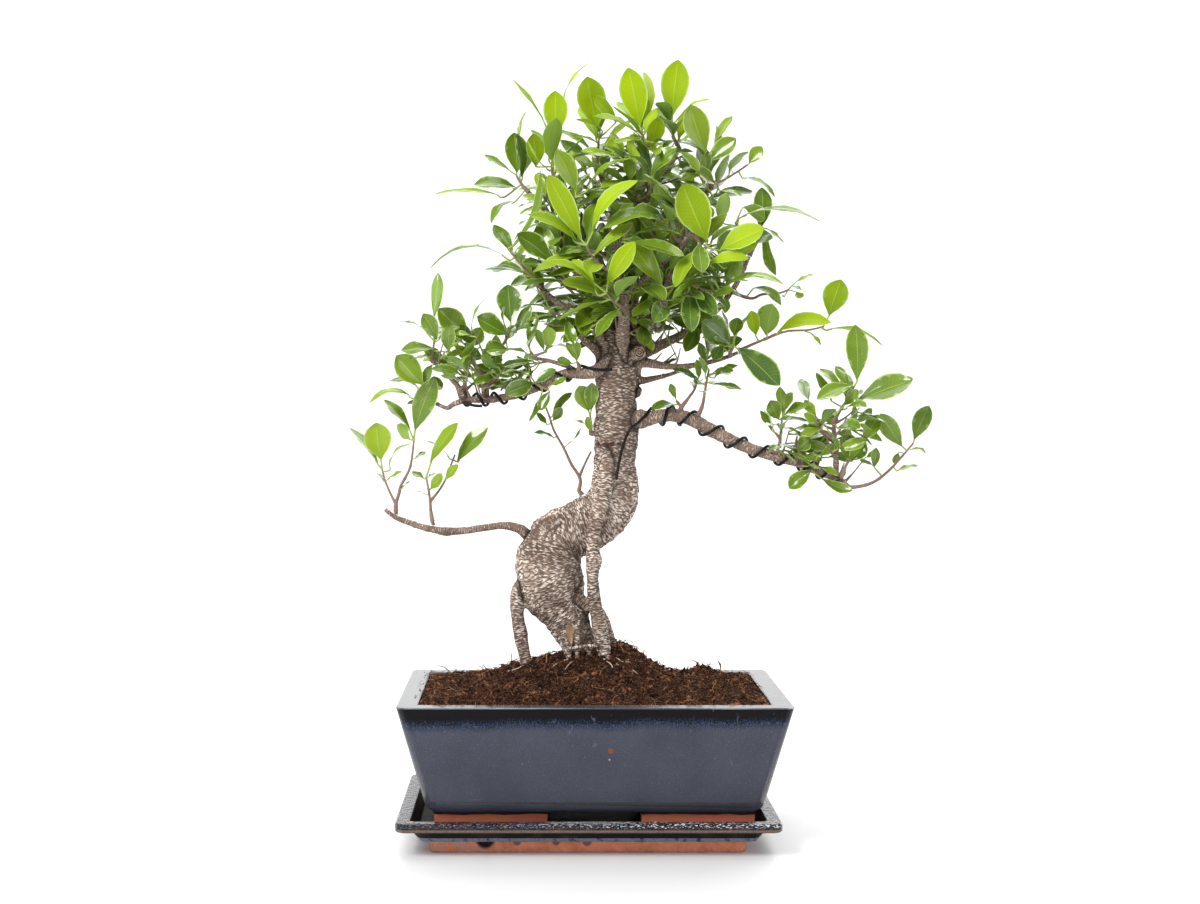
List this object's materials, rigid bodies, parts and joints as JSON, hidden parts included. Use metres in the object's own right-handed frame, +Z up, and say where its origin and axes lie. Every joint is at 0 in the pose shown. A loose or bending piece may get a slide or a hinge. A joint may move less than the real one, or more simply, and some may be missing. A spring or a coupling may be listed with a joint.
{
  "type": "potted bonsai fig",
  "caption": "Small trained fig tree with a curved trunk, aerial roots and glossy oval leaves, in a dark glazed rectangular bowl on its drip tray.",
  "frame": {"origin": "centre of the flat underside of the drip tray's foot", "axes": "+Z up the trunk; +X along the bowl's long side, to the right as seen from the front; -Y towards the viewer"},
  "size_m": [0.5773, 0.26, 0.771],
  "materials": {
    "tray_glaze": "glossy black-brown glaze, bare terracotta at the foot",
    "bowl_glaze": "semi-gloss slate-navy glaze, near black below the rim",
    "screen_plastic": "matte black mesh",
    "soil": "loose, dull and fibrous",
    "bark": "matte bark with pale raised dashes",
    "wire": "black anodised, glossy",
    "leaf_bright": "glossy young leaf",
    "leaf_mid": "glossy grown leaf",
    "leaf_dark": "glossy old leaf"
  },
  "bodies": {
    "root": {"bowl": "bowl_glaze", "drain_screen_left": "screen_plastic", "drain_screen_right": "screen_plastic", "drip_tray": "tray_glaze", "soil": "soil", "spray_back_centre": "leaf_mid", "spray_back_crown": "leaf_mid", "spray_back_left_high": "leaf_mid", "spray_back_left_low": "leaf_mid", "spray_back_right_high": "leaf_mid", "spray_back_right_low": "leaf_mid", "spray_back_upper_left": "leaf_mid", "spray_crown_centre": "leaf_dark", "spray_crown_centre_front": "leaf_dark", "spray_crown_centre_left": "leaf_mid", "spray_crown_front_inner": "leaf_mid", "spray_crown_front_left": "leaf_bright", "spray_crown_front_low": "leaf_bright", "spray_crown_front_middle": "leaf_mid", "spray_crown_left_arch": "leaf_mid", "spray_crown_left_bare": "leaf_mid", "spray_crown_left_middle": "leaf_dark", "spray_crown_left_outer": "leaf_mid", "spray_crown_middle_right": "leaf_mid", "spray_crown_right_dark": "leaf_dark", "spray_crown_right_edge": "leaf_mid", "spray_crown_right_front": "leaf_bright", "spray_crown_right_long": "leaf_bright", "spray_crown_right_lower": "leaf_mid", "spray_crown_right_top": "leaf_mid", "spray_crown_thin_right": "leaf_mid", "spray_crown_top": "leaf_bright", "spray_crown_top_left": "leaf_bright", "spray_crown_top_middle": "leaf_bright", "spray_crown_top_right": "leaf_bright", "spray_limb_leaves": "leaf_mid", "spray_low_left_inner": "leaf_mid", "spray_low_left_outer": "leaf_mid", "spray_pad_inner": "leaf_dark", "spray_pad_low": "leaf_mid", "spray_pad_middle": "leaf_mid", "spray_pad_outer": "leaf_mid", "spray_pad_root_high": "leaf_mid", "spray_pad_root_low": "leaf_dark", "spray_right_end_left": "leaf_mid", "spray_right_end_up": "leaf_mid", "spray_right_far_tip": "leaf_mid", "spray_right_inner_shoot": "leaf_mid", "spray_right_middle": "leaf_mid", "spray_right_shoot_a": "leaf_mid", "spray_right_shoot_b": "leaf_mid", "spray_right_side": "leaf_mid", "spray_right_under": "leaf_mid", "spray_trunk_hearts": "leaf_mid", "spray_trunk_shoot": "leaf_mid", "trunk": "bark", "wire_middle_left": "wire", "wire_right_branch": "wire"}
  },
  "joints": []
}
